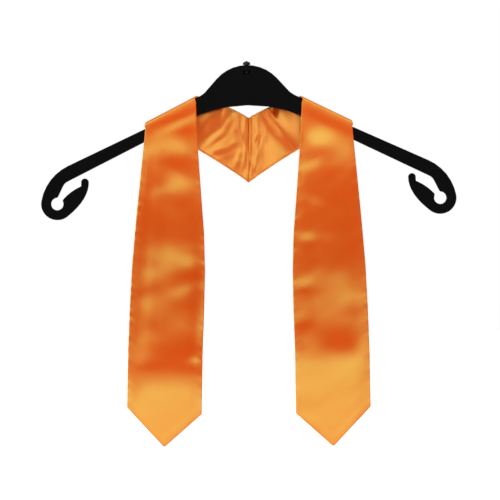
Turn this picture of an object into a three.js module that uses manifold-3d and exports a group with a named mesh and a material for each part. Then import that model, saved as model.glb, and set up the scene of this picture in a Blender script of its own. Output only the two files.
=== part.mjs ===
// A satin graduation stole hung over the shoulders of a flat moulded hanger.
// Units are millimetres. +X is to the viewer's right, +Z is up and the front faces -Y.
// The origin is the top of the hook stud, the point that the hanger hangs from.

import * as THREE from "three";
import { mergeVertices } from "three/addons/utils/BufferGeometryUtils.js";
import Module from "manifold-3d";

const wasm = await Module();
wasm.setup();

// Hanger plate
const hangerSpan = 602; // across the outsides of the two curls
const hangerThickness = 10;
const hangerEdge = 1.5; // rounding of the plate's rims
const hangerTilt = 0.95; // degrees, left end low
const crownRadius = 59;
const crownTurn = 48; // degrees from level to the straight flank
const flankLength = 25;
const neckRadius = 22.4; // hollow between the flank and the shoulder
const shoulderSlope = 26.6; // degrees
const shoulderLength = 84; // of the round rail that carries the cloth
const shoulderRise = 5.9; // of the rail's top above the arm, square to the rail
const armSlope = 24.7; // degrees, upper edge
const underSlope = 26.2; // degrees, lower edge
const armDepth = 18.2; // upright, at the rail's outer end
const crownDepth = 58.2; // from the crown's top to the arch below it
const restingGap = 0.3; // between any two pieces that rest together

// Curl at the end of each arm
const bendRadius = 70; // outside of the arm's last bend
const curlRadius = 23.4; // outside of the curl, round the eye
const eyeRadius = 9;
const eyeDepth = 43; // of the eye's centre below the arm's upper edge, square to it
const knobRadius = 5.4;
const knobReach = 51; // from the eye's centre to the knob's
const knobAngle = 142.7; // degrees above the outward direction
const mouthInner = 146; // degrees, where the tongue meets the eye
const mouthOuter = 93; // degrees, where the barb meets the eye
const barbSlope = 64; // degrees, of the barb's face
const tongueBulge = 2; // of the tongue's upper edge
const curlEnd = 128; // degrees round the eye to the tongue's underside
const tipRounding = 2.4; // of the two tips at the eye's mouth

// Hook stud and the pocket that shows its end
const studRise = 6; // above the crown
const studRadius = 5.5;
const shankRadius = 2.6;
const shankLength = 9.5;
const rivetRadius = 3.4;
const rivetHeight = 2.6;
const pocketWidth = 9;
const pocketMargin = 1.4; // above and below the rivet
const pocketBack = 1.2; // wall left behind the pocket

// Stole
const stoleShift = 3.3; // of the stole's centre line to the right
const shellWall = 1;
const liningWall = 1;
const layerGap = 0.3;
const liningInset = 1.2; // from the shell's edges
const foldInner = 73.5; // from the centre line to the fold's inner end, level
const foldWidth = 73.2; // of the fold, level
const foldShift = { back: 2.6, front: 6 }; // of the cloth along the fold, from its top
const endWidth = 108;
const endSlant = 9.8; // how much lower the inner corner hangs than the outer one
const pointDrop = 52.4; // from the corners to the point
const frontDrop = 428; // from the fold to the corners
const frontSplay = 8.8; // outward drift of the front between them
const seamHeight = 94.3;
const seamDip = 31.5; // from the folds down to the top of the back seam
const seamBow = 7; // how far the seam stands behind the hanger
const seamGap = 0.3;
const hemSag = 4.6; // hollow of the neckpiece's lower edge
const endLean = 6.5; // degrees, of the lower ends towards the front
const leanLength = 16; // over which the lean begins

// How the front widens and drifts: shares of the drop, the widening and the splay.
const frontSections = [
  { down: 0.0, widening: 0.0, drift: 0.0 },
  { down: 0.12, widening: 0.19, drift: 0.06 },
  { down: 0.25, widening: 0.46, drift: 0.08 },
  { down: 0.39, widening: 0.76, drift: 0.13 },
  { down: 0.52, widening: 0.94, drift: 0.34 },
  { down: 0.65, widening: 0.99, drift: 0.58 },
  { down: 0.8, widening: 1.0, drift: 0.85 },
  { down: 1.0, widening: 1.0, drift: 1.0 },
];

// Soft swells of each front: shares of the front's drop and width, and of swellHeight.
const swellHeight = 3;
const frontSwells = {
  left: [
    { down: 0.14, across: 0.5, reach: 0.07, spread: 0.9, height: 1.0 },
    { down: 0.27, across: 0.25, reach: 0.06, spread: 0.7, height: 0.9 },
    { down: 0.54, across: 0.55, reach: 0.07, spread: 0.8, height: 1.0 },
    { down: 0.68, across: 0.6, reach: 0.055, spread: 0.9, height: 0.7 },
    { down: 0.79, across: 0.35, reach: 0.05, spread: 0.8, height: 0.6 },
  ],
  right: [
    { down: 0.14, across: 0.4, reach: 0.08, spread: 0.9, height: 1.1 },
    { down: 0.21, across: 0.0, reach: 0.05, spread: 0.5, height: 0.6 },
    { down: 0.43, across: 0.1, reach: 0.05, spread: 0.5, height: 0.7 },
    { down: 0.64, across: 0.7, reach: 0.09, spread: 0.9, height: 1.0 },
    { down: 0.75, across: 0.3, reach: 0.05, spread: 0.8, height: 0.5 },
  ],
};
const leanStart = { left: 0.85, right: 0.785 }; // share of the front's drop where each end leans

// Gathers of the neckpiece: shares of the way from the seam to the fold, and of gatherHeight.
// Neck and hem say how much of each gather reaches the upper and the lower edge.
const gatherHeight = 3;
const neckGathers = {
  left: [
    { out: 0.07, halfWidth: 0.06, height: 0.9, neck: 0.3, hem: 1.0 },
    { out: 0.19, halfWidth: 0.07, height: -0.5, neck: 0.5, hem: 1.0 },
    { out: 0.34, halfWidth: 0.1, height: 0.4, neck: 0.8, hem: 1.0 },
    { out: 0.56, halfWidth: 0.16, height: 0.9, neck: 1.0, hem: 0.8 },
  ],
  right: [
    { out: 0.06, halfWidth: 0.055, height: 0.8, neck: 0.3, hem: 1.0 },
    { out: 0.16, halfWidth: 0.07, height: -0.7, neck: 0.4, hem: 1.0 },
    { out: 0.48, halfWidth: 0.15, height: 1.3, neck: 0.7, hem: 1.0 },
    { out: 0.76, halfWidth: 0.12, height: -0.4, neck: 0.8, hem: 1.0 },
  ],
};

// Mesh steps
const acrossSteps = 6;
const seamSteps = 14; // over the gathered share of the neckpiece
const gatheredShare = 0.32;
const neckSteps = 10;
const foldSteps = 10;
const frontSteps = 32;
const arcStep = 10; // degrees a step of a plate's arc turns
const edgeSteps = 3;
const turnedSides = 14;
const railSides = 24;

const { clamp, degToRad, lerp, radToDeg, smoothstep } = THREE.MathUtils;

// Joining and cutting

function toSolid(geometry) {
  const bare = geometry.clone();
  bare.deleteAttribute("normal");
  bare.deleteAttribute("uv");
  const merged = mergeVertices(bare, 1e-4);
  return new wasm.Manifold(
    new wasm.Mesh({
      numProp: 3,
      vertProperties: merged.attributes.position.array,
      triVerts: new Uint32Array(merged.index.array),
    }),
  );
}

function toGeometry(solid) {
  const mesh = solid.getMesh();
  const geometry = new THREE.BufferGeometry();
  geometry.setAttribute("position", new THREE.BufferAttribute(mesh.vertProperties, 3));
  geometry.setIndex(new THREE.BufferAttribute(mesh.triVerts, 1));
  geometry.computeVertexNormals();
  return geometry;
}

// Hanger outline, drawn on its right half with x outward and y up

const polar = (centre, radius, degrees) =>
  new THREE.Vector2(Math.cos(degToRad(degrees)), Math.sin(degToRad(degrees)))
    .multiplyScalar(radius)
    .add(centre);

function arc(centre, radius, fromDegrees, toDegrees) {
  const steps = Math.ceil(Math.abs(toDegrees - fromDegrees) / arcStep);
  return Array.from({ length: steps + 1 }, (_, i) =>
    polar(centre, radius, lerp(fromDegrees, toDegrees, i / steps)),
  );
}

// A quadratic curve between two points, as steps without its first point.
function curve(start, control, end, steps = 8) {
  return new THREE.QuadraticBezierCurve(start, control, end).getPoints(steps).slice(1);
}

// A corner cut back along both sides and bridged by a curve.
function roundedCorner(before, corner, after, radius) {
  const towards = (target) => {
    const way = target.clone().sub(corner);
    return corner.clone().addScaledVector(way.normalize(), radius);
  };
  const start = towards(before);
  return [start, ...curve(start, corner, towards(after), 3)];
}

// The upper edge from the crown's top to the arm, and the ends of the shoulder's rail.
function hangerLines() {
  const crownCentre = new THREE.Vector2(0, -studRise - crownRadius);
  const crown = arc(crownCentre, crownRadius, 90, 90 - crownTurn);
  const flankEnd = polar(crown.at(-1), flankLength, -crownTurn);
  const neckCentre = polar(flankEnd, neckRadius, 90 - crownTurn);
  const neck = arc(neckCentre, neckRadius, 270 - crownTurn, 270 - shoulderSlope);
  const railStart = neck.at(-1);
  const railEnd = polar(railStart, shoulderLength, -shoulderSlope);
  const below = -90 - shoulderSlope;
  const foot = polar(railStart, hangerThickness / 2, below);
  const armStart = polar(railEnd, shoulderRise, below);
  return { top: [...crown, ...neck, foot, armStart], railStart, railEnd, armStart };
}

// The arm's bend, the curl, the tongue with its knob, the eye and the barb.
function curlOutline(armStart, underAt) {
  const along = polar(new THREE.Vector2(), 1, -armSlope);
  const outward = polar(new THREE.Vector2(), 1, 90 - armSlope);
  const eyeX = hangerSpan / 2 - curlRadius;
  const eye = armStart
    .clone()
    .addScaledVector(along, (eyeX - armStart.x + eyeDepth * outward.x) / along.x)
    .addScaledVector(outward, -eyeDepth);
  // The bend touches the arm's upper edge and, on its inside, the curl.
  const below = bendRadius - eyeDepth;
  const behind = Math.sqrt((bendRadius - curlRadius) ** 2 - below ** 2);
  const bend = eye.clone().addScaledVector(along, -behind).addScaledVector(outward, -below);
  const joint = radToDeg(eye.clone().sub(bend).angle());

  const curl = arc(eye, curlRadius, joint, -curlEnd);
  const knob = polar(eye, knobReach, knobAngle);
  const knobSide = polar(knob, knobRadius, 180);
  const rise = (curl.at(-1).x - knobSide.x) * Math.tan(degToRad(curlEnd - 90));
  const tongueTurn = new THREE.Vector2(knobSide.x, curl.at(-1).y + rise);

  const knobNeck = polar(knob, 1.5 * knobRadius, -46);
  const tongueTip = polar(eye, eyeRadius, mouthInner);
  const chord = tongueTip.clone().sub(knobNeck).normalize();
  const tongueCrown = knobNeck
    .clone()
    .lerp(tongueTip, 0.5)
    .add(new THREE.Vector2(-chord.y, chord.x).multiplyScalar(2 * tongueBulge));

  // The barb's face runs up from its tip to the arm's lower edge.
  const eyeArc = arc(eye, eyeRadius, mouthInner, mouthOuter + 360);
  const barbTip = eyeArc.at(-1);
  const steep = Math.tan(degToRad(barbSlope));
  const run = (underAt(barbTip.x) - barbTip.y) / (steep - Math.tan(degToRad(underSlope)));
  const barbTop = new THREE.Vector2(barbTip.x - run, barbTip.y + run * steep);
  const underWay = polar(barbTop, 1, 180 - underSlope);

  return [
    ...arc(bend, bendRadius, 90 - armSlope, joint).slice(0, -1),
    ...curl,
    ...curve(curl.at(-1), tongueTurn, knobSide),
    ...arc(knob, knobRadius, 180, -10).slice(1),
    knobNeck,
    ...curve(knobNeck, tongueCrown, tongueTip).slice(0, -2),
    ...roundedCorner(tongueCrown, tongueTip, eyeArc[2], tipRounding),
    ...eyeArc.slice(2, -2),
    ...roundedCorner(eyeArc.at(-3), barbTip, barbTop, tipRounding),
    ...roundedCorner(barbTip, barbTop, underWay, 2 * tipRounding),
  ];
}

function hangerOutline() {
  const { top, armStart } = hangerLines();
  const fall = Math.tan(degToRad(underSlope));
  const underAt = (x) => armStart.y - armDepth - (x - armStart.x) * fall;
  // The arch below the crown touches the arm's lower edge.
  const archTop = -studRise - crownDepth;
  const archRadius = (underAt(0) - archTop) / (1 / Math.cos(degToRad(underSlope)) - 1);
  const arch = arc(new THREE.Vector2(0, archTop - archRadius), archRadius, 90 - underSlope, 90);
  const right = [...top, ...curlOutline(armStart, underAt), ...arch];
  const left = right.slice(1, -1).map((p) => new THREE.Vector2(-p.x, p.y));
  return [...right, ...left.reverse()];
}

// A plate standing in the XZ plane, centred on y = 0.
function plate(outline, thickness, edge) {
  const geometry = new THREE.ExtrudeGeometry(new THREE.Shape(outline), {
    depth: thickness - 2 * edge,
    bevelThickness: edge,
    bevelSize: edge,
    bevelOffset: -edge,
    bevelSegments: edgeSteps,
  });
  geometry.translate(0, 0, edge - thickness / 2);
  return geometry.rotateX(Math.PI / 2);
}

// The stud's rivet lies in a pocket whose roof carries the shank.
const rivetTop = -studRise - shankLength;
const pocketHeight = rivetHeight + 2 * pocketMargin;
const pocketMiddle = rivetTop - rivetHeight / 2;

function shoulderRail(sign) {
  const { railStart } = hangerLines();
  const radius = hangerThickness / 2;
  const rail = new THREE.CylinderGeometry(radius, radius, shoulderLength, railSides);
  rail.translate(0, shoulderLength / 2, 0);
  rail.rotateZ(-Math.PI / 2 - degToRad(shoulderSlope));
  const foot = polar(railStart, radius, -90 - shoulderSlope);
  rail.translate(foot.x, foot.y, 0);
  if (sign < 0) rail.rotateY(Math.PI);
  return rail.rotateX(Math.PI / 2);
}

function hangerBody() {
  const depth = hangerThickness - pocketBack;
  const pocket = new THREE.BoxGeometry(pocketWidth, depth, pocketHeight);
  pocket.translate(0, -pocketBack / 2, pocketMiddle);
  const holeRadius = shankRadius + restingGap;
  const holeLength = shankLength + restingGap;
  const hole = new THREE.CylinderGeometry(holeRadius, holeRadius, holeLength, turnedSides);
  hole.rotateX(Math.PI / 2);
  hole.translate(0, 0, -studRise - shankLength / 2);
  return toGeometry(
    toSolid(plate(hangerOutline(), hangerThickness, hangerEdge))
      .add(toSolid(shoulderRail(-1)))
      .add(toSolid(shoulderRail(1)))
      .subtract(toSolid(pocket))
      .subtract(toSolid(hole)),
  );
}

function hookStud() {
  const under = -studRise + restingGap;
  const profile = [
    [0, rivetTop - rivetHeight],
    [rivetRadius, rivetTop - rivetHeight],
    [rivetRadius, rivetTop - 0.3 * rivetHeight],
    [shankRadius, rivetTop],
    [shankRadius, under],
    [studRadius, under],
    [studRadius, under + 0.45 * studRise],
    [0.8 * studRadius, under + 0.7 * studRise],
    [0.3 * studRadius, -0.12 * studRise],
    [0.2 * studRadius, 0],
    [0, 0],
  ].map(([radius, height]) => new THREE.Vector2(radius, height));
  return new THREE.LatheGeometry(profile, turnedSides).rotateX(Math.PI / 2);
}

// Stole: the surface of one side that faces the hanger

const up = new THREE.Vector3(0, 0, 1);
const back = new THREE.Vector3(0, 1, 0);

// The hanger's tilt, as it turns a point of its outline.
function hung(point) {
  return new THREE.Vector3(point.x, 0, point.y).applyAxisAngle(back, -degToRad(hangerTilt));
}

// The line of a rail's top and where the stole's fold begins on it.
function foldLine(sign) {
  const { railStart, railEnd } = hangerLines();
  const start = hung(new THREE.Vector2(sign * railStart.x, railStart.y));
  const end = hung(new THREE.Vector2(sign * railEnd.x, railEnd.y));
  const along = end.sub(start).normalize();
  const level = stoleShift + sign * foldInner - start.x;
  const inner = start.clone().addScaledVector(along, level / along.x);
  const length = foldWidth / Math.abs(along.x);
  const outward = up.clone().addScaledVector(along, -along.z).normalize();
  return { inner, along, length, outward };
}

// The fold's section over the rail, from its back to its front: distance behind the rail's
// axis, height above its top and how far the cloth has slid along it.
function foldSection() {
  const radius = hangerThickness / 2 + restingGap;
  return Array.from({ length: foldSteps + 1 }, (_, i) => {
    const angle = (Math.PI * i) / foldSteps;
    const share = (2 * i) / foldSteps - 1;
    return {
      behind: radius * Math.cos(angle),
      height: radius * Math.sin(angle) - hangerThickness / 2,
      slid: share * (share < 0 ? foldShift.back : foldShift.front),
    };
  });
}

// A smooth reading of one column of a table at a share of its first column.
function reader(table, place, column) {
  const interpolant = new THREE.CubicInterpolant(
    table.map((row) => row[place]),
    table.map((row) => row[column]),
    1,
  );
  return (at) => interpolant.evaluate(at)[0];
}

const widening = reader(frontSections, "down", "widening");
const drift = reader(frontSections, "down", "drift");

// A rounded bump, 1 at its middle and 0 from its reach outward.
function bump(distance, reach) {
  const share = Math.min(1, Math.abs(distance) / reach);
  return Math.cos((Math.PI / 2) * share) ** 2;
}

// Both folds' mean height sets the seam, which the two sides share.
function seamTop() {
  const folds = [foldLine(-1), foldLine(1)];
  return (folds[0].inner.z + folds[1].inner.z) / 2 - seamDip;
}

class StoleSide {
  constructor(name, sign) {
    this.name = name;
    this.sign = sign;
    this.fold = foldLine(sign);
    this.section = foldSection();
    this.seamTop = seamTop();
  }

  // A point on the fold at one place of its section. Across runs from 0 at the neck edge
  // to 1 at the outer edge.
  foldPoint(place, across) {
    const { inner, along, length, outward } = this.fold;
    return inner
      .clone()
      .addScaledVector(along, across * length + place.slid)
      .addScaledVector(outward, place.height)
      .addScaledVector(back, place.behind);
  }

  // A point of the neckpiece. Out runs from 0 at the back seam to 1 at the fold.
  neckPoint(out, across) {
    const edgeStart = stoleShift + (this.sign * seamGap) / 2;
    const neckStart = new THREE.Vector3(edgeStart, 0, this.seamTop);
    const hemStart = new THREE.Vector3(edgeStart, 0, this.seamTop - seamHeight);
    const neck = neckStart.lerp(this.foldPoint(this.section[0], 0), out);
    const hem = hemStart.lerp(this.foldPoint(this.section[0], 1), out);
    hem.z += 4 * hemSag * out * (1 - out);
    const point = neck.lerp(hem, across);
    const behind = this.section[0].behind + seamBow * (1 - smoothstep(out, 0, 1));
    let gathers = 0;
    for (const gather of neckGathers[this.name]) {
      const share = lerp(gather.neck, gather.hem, across);
      gathers += gather.height * share * bump(out - gather.out, gather.halfWidth);
    }
    const lying = 1 - smoothstep(out, 0.75, 1);
    return point.setY(behind + gatherHeight * gathers * lying);
  }

  // A point of the front. Down runs from 0 at the fold to 1 at the pointed end.
  frontPoint(down, across) {
    const last = this.section.at(-1);
    const inner = this.foldPoint(last, 0);
    const outer = this.foldPoint(last, 1);
    const width = Math.abs(outer.x - inner.x);
    const middle = inner.clone().lerp(outer, 0.5);
    middle.x += this.sign * frontSplay * drift(down);
    middle.z -= frontDrop * down;
    const side = 2 * across - 1;
    const half = lerp(width, endWidth, widening(down)) / 2;
    const slant = (outer.z - inner.z) / 2;
    const eased = (1 - Math.min(1, down / 0.4)) ** 2;
    const point = middle.clone();
    point.x += this.sign * side * half;
    point.z += side * lerp(endSlant / 2, slant, eased);
    point.z -= pointDrop * (1 - Math.abs(side)) * smoothstep(down, 0.7, 1);
    return point.setY(last.behind - this.swell(down, across) - this.lean(down));
  }

  swell(down, across) {
    let total = 0;
    for (const swell of frontSwells[this.name]) {
      const reaching = bump(down - swell.down, swell.reach);
      total += swell.height * reaching * bump(across - swell.across, swell.spread);
    }
    return swellHeight * total;
  }

  // How far the lower end has leant towards the front.
  lean(down) {
    const past = frontDrop * (down - leanStart[this.name]);
    const eased = Math.max(0, past + leanLength / 2);
    const begun = Math.min(eased, leanLength) ** 2 / (2 * leanLength);
    const rest = Math.max(0, eased - leanLength);
    return Math.tan(degToRad(endLean)) * (begun + rest);
  }

  // Every row of the side from seam to point, as functions of the share across.
  rows(endInset) {
    const outs = [];
    for (let i = 0; i < seamSteps; i++) outs.push((gatheredShare * i) / seamSteps);
    for (let i = 0; i < neckSteps; i++) outs.push(lerp(gatheredShare, 1, i / neckSteps));
    const downs = [];
    for (let i = 1; i <= frontSteps; i++) downs.push(((1 - endInset) * i) / frontSteps);
    return [
      ...outs.map((out) => (across) => this.neckPoint(out, across)),
      ...this.section.map((place) => (across) => this.foldPoint(place, across)),
      ...downs.map((down) => (across) => this.frontPoint(down, across)),
    ];
  }

  // One layer of cloth, from one distance off the hanger-side surface to another.
  layer(from, wall, inset) {
    const edge = inset / endWidth;
    const rows = this.rows(inset / frontDrop);
    const grid = rows.map((row) =>
      Array.from({ length: acrossSteps + 1 }, (_, j) =>
        row(lerp(edge, 1 - edge, j / acrossSteps)),
      ),
    );
    return sheetGeometry(grid, from, wall, this.sign);
  }
}

// A closed sheet whose two faces lie off a grid of points, along the grid's own normals.
function sheetGeometry(grid, from, wall, sign) {
  const rows = grid.length;
  const columns = grid[0].length;
  const near = (i, j) => grid[clamp(i, 0, rows - 1)][clamp(j, 0, columns - 1)];
  const positions = [];
  for (const offset of [from, from + wall])
    for (let i = 0; i < rows; i++)
      for (let j = 0; j < columns; j++) {
        const along = near(i + 1, j).clone().sub(near(i - 1, j)).normalize();
        const across = near(i, j + 1).clone().sub(near(i, j - 1)).normalize();
        const normal = along.cross(across).multiplyScalar(sign);
        if (i === 0) normal.x = 0; // the seam is cut square
        normal.normalize();
        const point = grid[i][j].clone().addScaledVector(normal, offset);
        positions.push(point.x, point.y, point.z);
      }
  const at = (face, i, j) => face * rows * columns + i * columns + j;
  const triangles = [];
  const quad = (a, b, c, d) =>
    sign < 0 ? triangles.push(a, b, c, a, c, d) : triangles.push(a, c, b, a, d, c);
  for (let i = 0; i < rows - 1; i++)
    for (let j = 0; j < columns - 1; j++) {
      quad(at(0, i, j), at(0, i + 1, j), at(0, i + 1, j + 1), at(0, i, j + 1));
      quad(at(1, i, j), at(1, i, j + 1), at(1, i + 1, j + 1), at(1, i + 1, j));
    }
  for (let i = 0; i < rows - 1; i++) {
    const last = columns - 1;
    quad(at(0, i, 0), at(1, i, 0), at(1, i + 1, 0), at(0, i + 1, 0));
    quad(at(0, i, last), at(0, i + 1, last), at(1, i + 1, last), at(1, i, last));
  }
  for (let j = 0; j < columns - 1; j++) {
    const last = rows - 1;
    quad(at(0, 0, j), at(0, 0, j + 1), at(1, 0, j + 1), at(1, 0, j));
    quad(at(0, last, j), at(1, last, j), at(1, last, j + 1), at(0, last, j + 1));
  }
  const geometry = new THREE.BufferGeometry();
  geometry.setAttribute("position", new THREE.Float32BufferAttribute(positions, 3));
  geometry.setIndex(triangles);
  geometry.computeVertexNormals();
  return geometry;
}

// Materials and assembly

const satin = new THREE.MeshStandardMaterial({
  color: 0xd8591c,
  roughness: 0.38,
  metalness: 0,
  side: THREE.DoubleSide,
});
const liningSatin = new THREE.MeshStandardMaterial({
  color: 0xe57a2b,
  roughness: 0.42,
  metalness: 0,
  side: THREE.DoubleSide,
});
const blackPlastic = new THREE.MeshStandardMaterial({
  color: 0x0c0c0c,
  roughness: 0.55,
  metalness: 0,
});
const blackSteel = new THREE.MeshStandardMaterial({
  color: 0x1b1b1c,
  roughness: 0.35,
  metalness: 0.7,
});

function named(name, geometry, material) {
  const mesh = new THREE.Mesh(geometry, material);
  mesh.name = name;
  return mesh;
}

const hanger = new THREE.Group();
hanger.rotation.y = -degToRad(hangerTilt);
hanger.add(named("hanger_body", hangerBody(), blackPlastic));
hanger.add(named("hook_stud", hookStud(), blackSteel));

const stole = new THREE.Group();
for (const side of [new StoleSide("left", -1), new StoleSide("right", 1)]) {
  const shellStart = liningWall + layerGap;
  stole.add(named(side.name + "_lining", side.layer(0, liningWall, liningInset), liningSatin));
  stole.add(named(side.name + "_shell", side.layer(shellStart, shellWall, 0), satin));
}

const assembly = new THREE.Group();
assembly.add(hanger, stole);

export default assembly;
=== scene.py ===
"""A satin graduation stole over a flat moulded hanger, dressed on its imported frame.

Lengths are in metres and colours are linear. +X is to the viewer's right, +Z is up and
the front faces -Y. The origin is the top of the hook stud.
"""
import logging
import math
from dataclasses import dataclass
from enum import Enum

import bmesh
import bpy
import numpy as np
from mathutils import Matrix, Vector


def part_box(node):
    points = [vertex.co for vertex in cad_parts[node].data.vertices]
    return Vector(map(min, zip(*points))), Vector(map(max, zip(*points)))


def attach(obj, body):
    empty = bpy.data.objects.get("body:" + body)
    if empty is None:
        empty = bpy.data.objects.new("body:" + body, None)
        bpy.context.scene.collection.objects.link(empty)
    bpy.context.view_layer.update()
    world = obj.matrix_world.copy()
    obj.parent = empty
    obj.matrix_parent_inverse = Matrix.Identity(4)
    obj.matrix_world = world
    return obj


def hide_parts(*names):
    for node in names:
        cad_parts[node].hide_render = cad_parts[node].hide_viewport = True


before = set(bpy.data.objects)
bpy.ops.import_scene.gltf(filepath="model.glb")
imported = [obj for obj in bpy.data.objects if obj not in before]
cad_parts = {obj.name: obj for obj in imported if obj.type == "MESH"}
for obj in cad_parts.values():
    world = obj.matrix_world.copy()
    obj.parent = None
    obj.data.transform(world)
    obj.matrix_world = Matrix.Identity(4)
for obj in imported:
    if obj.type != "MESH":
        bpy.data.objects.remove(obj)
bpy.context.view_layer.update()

MM = 0.001

# How near the rail's mid-plane, the crest's ends and the back seam a packed point counts.
CREST_DEPTH = 0.3 * MM
CREST_END = 3 * MM
SEAM_DEPTH = 0.5 * MM

Span = tuple[float, float]
Triple = tuple[float, float, float]
Socket = str | int
log = logging.getLogger("stole")


class Side(Enum):
    """The stole's two halves, named as the viewer sees them."""

    LEFT = -1
    RIGHT = 1

    @property
    def word(self) -> str:
        """The half's name as the nodes spell it."""
        return self.name.lower()


class Layer(Enum):
    """The two layers of cloth, from the hanger outward."""

    LINING = "lining"
    SHELL = "shell"


class Zone(Enum):
    """The three stretches of one half, from the back seam to the pointed end."""

    NECK = "neck"
    FOLD = "fold"
    FRONT = "front"


@dataclass(frozen=True)
class Cant:
    """A patch of cloth that leans back or forward, and so catches or loses the light.

    Lengths are millimetres in the frame's X and Z: its middle, its half height and its
    half width. Rise is how much it climbs per millimetre of +X, and degrees is how far it
    faces up.
    """

    x: float
    z: float
    half_height: float
    half_width: float
    rise: float
    degrees: float

    def at(self, points: np.ndarray) -> np.ndarray:
        """How far the patch turns the cloth up.

        Args:
            points: places on the cloth, in metres.

        Returns:
            The turn at each place, in degrees.
        """
        over = points[..., 0] / MM - self.x
        above = points[..., 2] / MM - self.z - self.rise * over
        spread = (above / self.half_height) ** 2 + (over / self.half_width) ** 2
        return self.degrees * np.exp(-spread)


@dataclass(frozen=True)
class Pleat:
    """A rounded fold of the neckpiece along a line of (X, Z) places in millimetres.

    Height is towards the viewer, in millimetres, and a negative one makes a crease. Rising
    and falling are the shares of the line over which it grows and fades, and kept is the
    share of its height that doesn't fade.
    """

    half_width: float
    height: float
    path: tuple[Span, ...]
    rising: Span = (-0.05, 0.2)
    falling: Span = (0.8, 1.05)
    kept: float = 0.25

    def at(self, points: np.ndarray, ease: float) -> np.ndarray:
        """How far the pleat stands out.

        Args:
            points: places on the cloth, in metres.
            ease: widens and lowers the pleat, for the layer behind.

        Returns:
            The height at each place, in metres.
        """
        plane = points[..., [0, 2]] / MM
        corners = np.array(self.path)
        lengths = np.linalg.norm(np.diff(corners, axis=0), axis=1)
        total = lengths.sum()
        nearest = np.full(plane.shape[:-1], np.inf)
        place = np.zeros(plane.shape[:-1])
        passed = 0.0
        for start, end, length in zip(corners, corners[1:], lengths):
            share = np.clip((plane - start) @ (end - start) / length**2, 0, 1)
            away = np.linalg.norm(plane - start - share[..., None] * (end - start), axis=-1)
            closer = away < nearest
            place = np.where(closer, (passed + share * length) / total, place)
            nearest = np.where(closer, away, nearest)
            passed += length
        fade = smooth(place, *self.rising) * (1 - smooth(place, *self.falling))
        height = self.height * MM / ease * (self.kept + (1 - self.kept) * fade)
        return height * bump(nearest, self.half_width * ease)


def smooth(value: np.ndarray | float, low: float, high: float) -> np.ndarray | float:
    """A smooth step.

    Args:
        value: what to step on.
        low: where the step leaves 0.
        high: where the step reaches 1.

    Returns:
        The step, from 0 to 1.
    """
    share = np.clip((value - low) / (high - low), 0, 1)
    return share * share * (3 - 2 * share)


def bump(distance: np.ndarray, reach: float) -> np.ndarray:
    """A rounded bump, 1 in its middle and 0 from its reach outward."""
    return np.cos(np.pi / 2 * np.clip(np.abs(distance) / reach, 0, 1)) ** 2


def arch(share: float) -> float:
    """A bow that is 0 at both ends of its span and 1 halfway."""
    return 4 * share * (1 - share)


def rounding(distance: np.ndarray, radius: float) -> np.ndarray:
    """How far an edge's quarter round lies below the full thickness.

    Args:
        distance: distance in from the edge.
        radius: the round's radius.

    Returns:
        The drop, equal to the radius at the edge and 0 from the radius inward.
    """
    out = 1 - np.clip(distance / radius, 0, 1)
    return radius * (1 - np.sqrt(1 - out * out))


def shell_points(side: Side) -> np.ndarray:
    """The points of one half's packed shell."""
    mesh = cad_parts[f"{side.word}_shell"].data
    return np.array([v.co[:] for v in mesh.vertices])


@dataclass(frozen=True)
class FoldLine:
    """Where one half of the stole lies over its rail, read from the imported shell."""

    inner: np.ndarray
    along: np.ndarray
    outward: np.ndarray
    length: float

    @classmethod
    def read(cls, side: Side, cloth_top: float) -> "FoldLine":
        """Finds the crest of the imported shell.

        Args:
            side: which half.
            cloth_top: how far the shell's outer face lies above the rail's side of the cloth.

        Returns:
            The line on the rail's side of the cloth.
        """
        points = shell_points(side)
        crest = points[np.abs(points[:, 1]) < CREST_DEPTH]
        reach = np.abs(crest[:, 0])
        near = crest[reach < reach.min() + CREST_END]
        far = crest[reach > reach.max() - CREST_END]
        inner, outer = near[np.argmax(near[:, 2])], far[np.argmax(far[:, 2])]
        span = outer - inner
        length = float(np.linalg.norm(span))
        outward = np.array([-span[2], 0, span[0]]) * side.value / length
        return cls(inner - cloth_top * outward, span / length, outward, length)


class ClothGrid:
    """A grid of points with the measures that a layer of cloth needs."""

    def __init__(self, points: np.ndarray, side: Side) -> None:
        """Measures the grid.

        Args:
            points: rows from the back seam to the pointed end, columns from the neck edge out.
            side: which half the grid belongs to.
        """
        self.points = points
        down = np.gradient(points, axis=0)
        across = np.gradient(points, axis=1)
        normals = np.cross(down, across) * side.value
        # The two halves meet face to face along the seam, so its normals have no X.
        normals[0, :, 0] = 0
        self.normals = normals / np.linalg.norm(normals, axis=2, keepdims=True)
        self.run = self._lengths(points, 0)
        self.breadth = self._lengths(points, 1)
        self.weave = np.stack([self.breadth, self.run], axis=-1)

    @staticmethod
    def _lengths(points: np.ndarray, axis: int) -> np.ndarray:
        """Measures along the grid.

        Args:
            points: the grid.
            axis: 0 to go down its columns, 1 to go across its rows.

        Returns:
            Each point's distance from the grid's first line.
        """
        steps = np.linalg.norm(np.diff(points, axis=axis), axis=2)
        pad = [(0, 0), (0, 0)]
        pad[axis] = (1, 0)
        return np.pad(np.cumsum(steps, axis=axis), pad)

    def to_sides(self) -> np.ndarray:
        """Distance to the nearer of the two long edges."""
        return np.minimum(self.breadth, self.breadth[:, -1:] - self.breadth)

    def to_point(self, slope: float) -> np.ndarray:
        """Distance to the pointed end, whose edges run at that slope in degrees."""
        return (self.run[-1:] - self.run) * math.cos(math.radians(slope))

    def area(self) -> float:
        """Adds up the cloth's faces.

        Returns:
            Their area.
        """
        along = np.diff(self.points, axis=0)[:, :-1]
        over = np.diff(self.points, axis=1)[:-1]
        return float(np.linalg.norm(np.cross(along, over), axis=2).sum())

    def offset(self, distance: np.ndarray) -> np.ndarray:
        """The grid moved outward, away from the hanger."""
        return self.points + self.normals * distance[:, :, None]


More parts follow.
